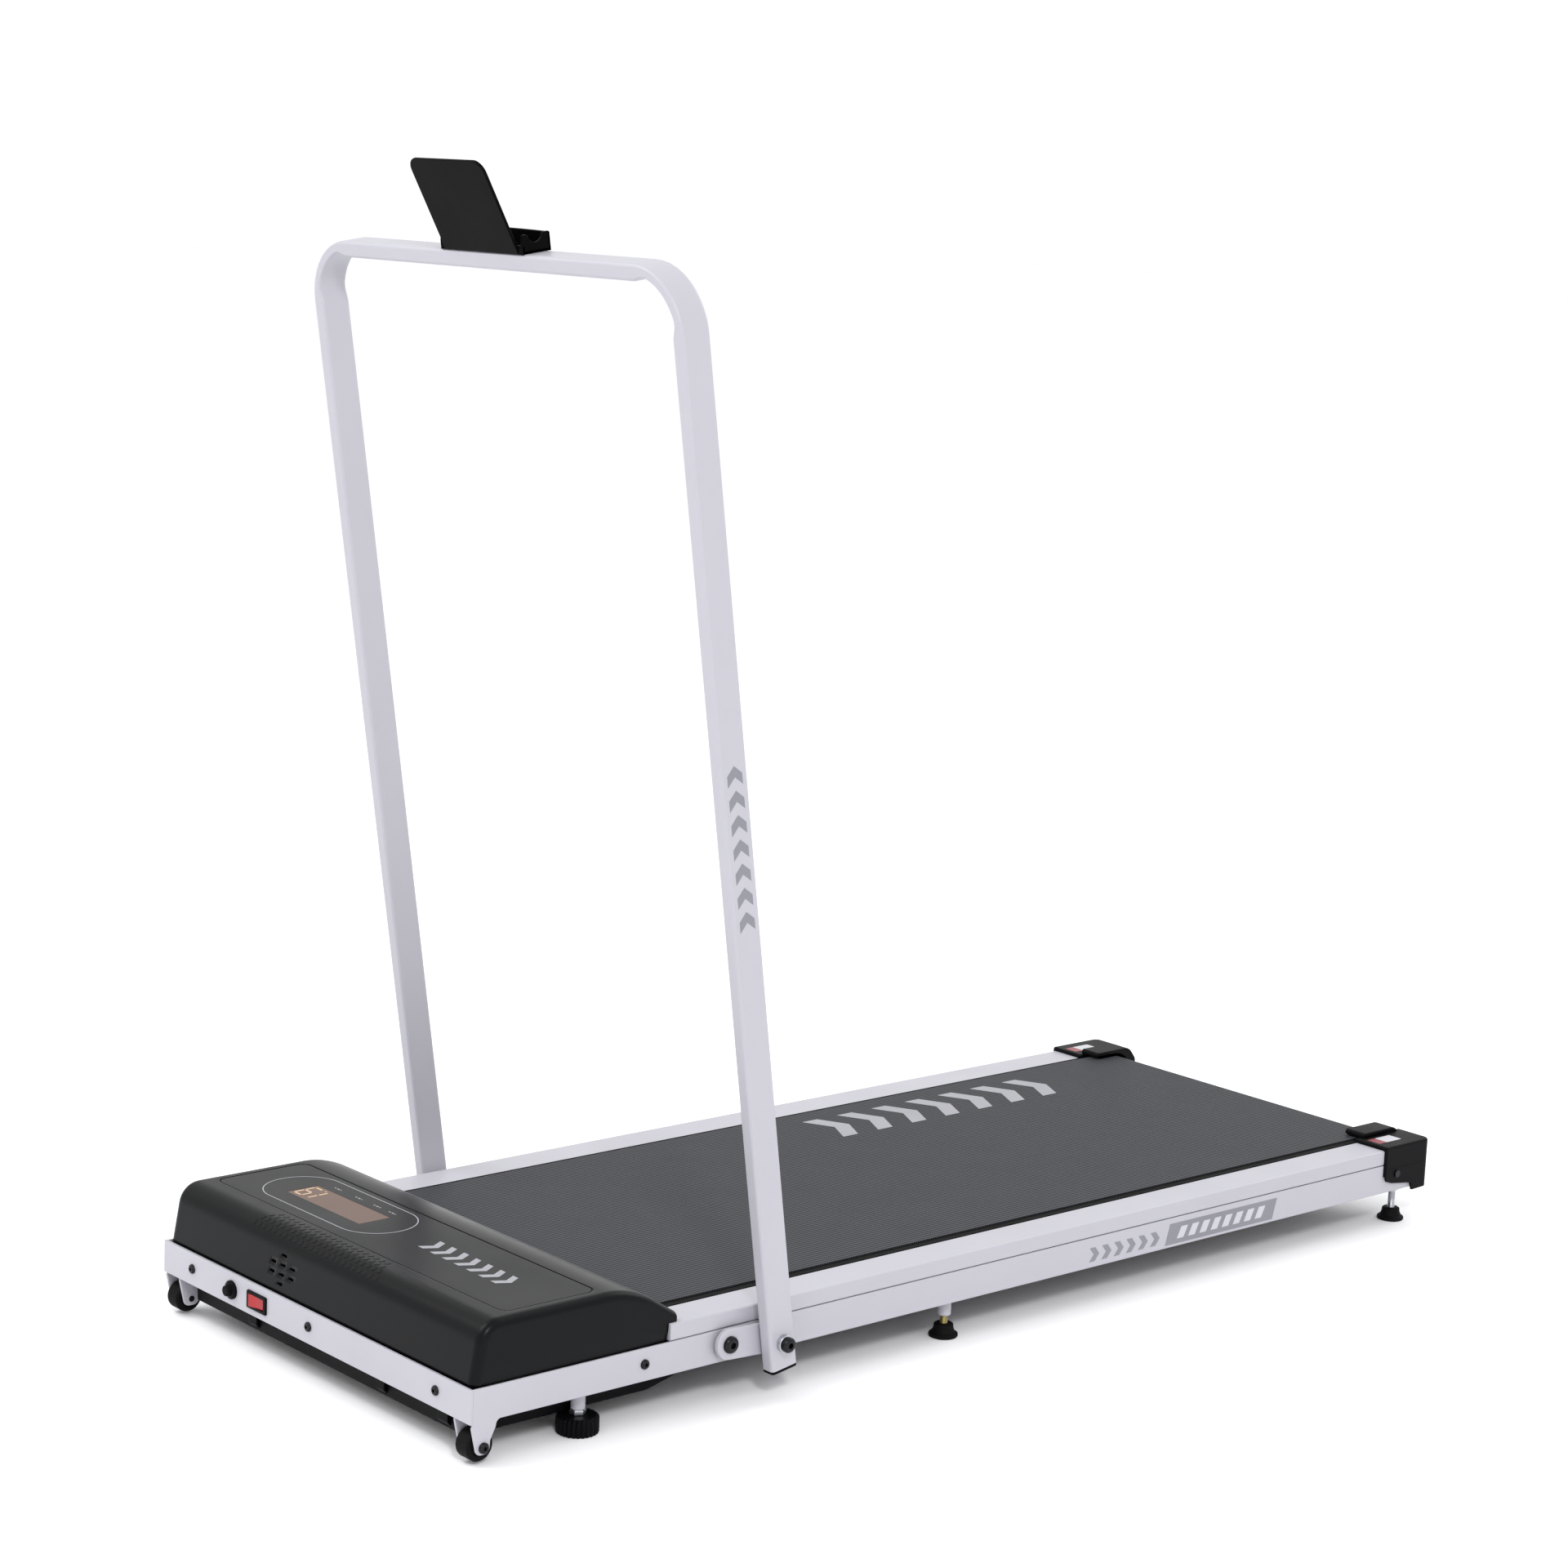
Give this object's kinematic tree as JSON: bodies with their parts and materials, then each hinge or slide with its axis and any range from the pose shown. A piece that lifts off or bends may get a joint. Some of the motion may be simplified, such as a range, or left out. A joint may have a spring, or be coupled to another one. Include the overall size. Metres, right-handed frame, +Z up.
{
  "type": "folding walking treadmill",
  "caption": "Slim walking treadmill with a low motor cover, flat running belt, screw feet and a folding handrail hoop that carries a phone holder.",
  "frame": {"origin": "middle of the footprint, on the floor the feet stand on", "axes": "+Z up; the motor cover is at -Y and the running belt runs towards +Y; +X is the left of a walker who faces the motor cover"},
  "size_m": [0.572, 1.284, 1.0939],
  "materials": {
    "white_steel": "satin powder coat",
    "black_plastic": "satin",
    "cover_plastic": "gloss",
    "black_rubber": "matte",
    "belt": "fine woven pattern",
    "lens": "smoked",
    "board": "fibreboard",
    "steel": "bright",
    "zinc": "yellow zinc",
    "black_steel": "black oxide",
    "aluminium": "machined",
    "circuit": "solder mask",
    "red_plastic": "gloss"
  },
  "bodies": {
    "frame": {"front_plate": "white_steel", "side_beam_left": "white_steel", "side_beam_right": "white_steel", "cross_members": "white_steel", "foot_rail_left": "white_steel", "foot_rail_right": "white_steel", "hinge_bracket_left": "white_steel", "hinge_bracket_right": "white_steel", "bracket_spacers": "white_steel", "pivot_sleeves": "white_steel", "motor_cover": "cover_plastic", "display_panel": "cover_plastic", "belly_pan": "black_plastic", "switch_bezel": "black_plastic", "breaker_body": "black_plastic", "controller_box": "black_plastic", "rear_cap_left": "black_plastic", "rear_cap_right": "black_plastic", "motor_end_bell": "black_plastic", "display_lens": "lens", "running_deck": "board", "running_belt": "belt", "deck_cushions": "black_rubber", "drive_belt": "black_rubber", "front_roller_axle": "steel", "rear_roller_axle": "steel", "foot_lock_nuts": "steel", "tension_bolts": "steel", "motor_housing": "black_steel", "motor_tray": "black_steel", "motor_cradle": "black_steel", "pivot_bolts": "black_steel", "bracket_bolts": "black_steel", "cover_screws": "black_steel", "cap_screws": "black_steel", "wheel_bolts": "black_steel", "controller_board": "circuit", "display_board": "circuit"},
    "handrail": {"handrail": "white_steel", "handrail_plugs": "black_plastic", "phone_holder": "black_plastic", "holder_screws": "black_steel"},
    "front_roller": {"front_roller": "steel", "front_roller_pulley": "aluminium", "front_roller_bearings": "steel"},
    "rear_roller": {"rear_roller": "steel", "rear_roller_bearings": "steel"},
    "motor_rotor": {"motor_rotor": "steel", "motor_pulley": "aluminium"},
    "left_wheel": {"left_wheel": "black_plastic"},
    "right_wheel": {"right_wheel": "black_plastic"},
    "power_rocker": {"switch_rocker": "red_plastic"},
    "reset_button": {"breaker_button": "black_plastic"},
    "front_foot_left": {"front_foot_left": "black_plastic"},
    "front_foot_right": {"front_foot_right": "black_plastic"},
    "mid_foot_left": {"mid_foot_left": "black_rubber"},
    "mid_foot_right": {"mid_foot_right": "black_rubber"},
    "rear_foot_left": {"rear_foot_left": "black_rubber"},
    "rear_foot_right": {"rear_foot_right": "black_rubber"}
  },
  "joints": [
    {"name": "handrail_fold", "type": "hinge", "parent": "frame", "child": "handrail", "pos_m": [0, -0.3073, 0.056], "axis": [-1, 0, 0], "range_deg": [0, 95.8]},
    {"name": "front_roller_spin", "type": "hinge", "parent": "frame", "child": "front_roller", "pos_m": [0, -0.469, 0.0664], "axis": [1, 0, 0], "continuous": true},
    {"name": "rear_roller_spin", "type": "hinge", "parent": "frame", "child": "rear_roller", "pos_m": [0, 0.605, 0.0664], "axis": [1, 0, 0], "continuous": true},
    {"name": "motor_spin", "type": "hinge", "parent": "frame", "child": "motor_rotor", "pos_m": [0.1, -0.568, 0.084], "axis": [1, 0, 0], "continuous": true},
    {"name": "left_wheel_spin", "type": "hinge", "parent": "frame", "child": "left_wheel", "pos_m": [0.2345, -0.6196, 0.017], "axis": [1, 0, 0], "continuous": true},
    {"name": "right_wheel_spin", "type": "hinge", "parent": "frame", "child": "right_wheel", "pos_m": [-0.2345, -0.6196, 0.017], "axis": [1, 0, 0], "continuous": true},
    {"name": "power_switch", "type": "hinge", "parent": "frame", "child": "power_rocker", "pos_m": [-0.0845, -0.632, 0.055], "axis": [0, 0, -1], "range_deg": [0, 20.5]},
    {"name": "breaker_reset", "type": "slide", "parent": "frame", "child": "reset_button", "axis": [0, 1, 0], "range_m": [0, 0.003], "stiffness_N_per_m": 150, "springref_m": -0.0002},
    {"name": "front_foot_left_turn", "type": "hinge", "parent": "frame", "child": "front_foot_left", "pos_m": [0.228, -0.503, 0.02], "axis": [0, 0, 1], "continuous": true},
    {"name": "front_foot_right_turn", "type": "hinge", "parent": "frame", "child": "front_foot_right", "pos_m": [-0.228, -0.503, 0.02], "axis": [0, 0, 1], "continuous": true},
    {"name": "mid_foot_left_turn", "type": "hinge", "parent": "frame", "child": "mid_foot_left", "pos_m": [0.228, -0.06, 0.02], "axis": [0, 0, 1], "continuous": true},
    {"name": "mid_foot_right_turn", "type": "hinge", "parent": "frame", "child": "mid_foot_right", "pos_m": [-0.228, -0.06, 0.02], "axis": [0, 0, 1], "continuous": true},
    {"name": "rear_foot_left_turn", "type": "hinge", "parent": "frame", "child": "rear_foot_left", "pos_m": [0.228, 0.611, 0.02], "axis": [0, 0, 1], "continuous": true},
    {"name": "rear_foot_right_turn", "type": "hinge", "parent": "frame", "child": "rear_foot_right", "pos_m": [-0.228, 0.611, 0.02], "axis": [0, 0, 1], "continuous": true}
  ],
  "couplings": [
    {"joint": "rear_roller_spin", "follows": "front_roller_spin", "ratio": 1},
    {"joint": "motor_spin", "follows": "front_roller_spin", "ratio": 2.1667}
  ]
}
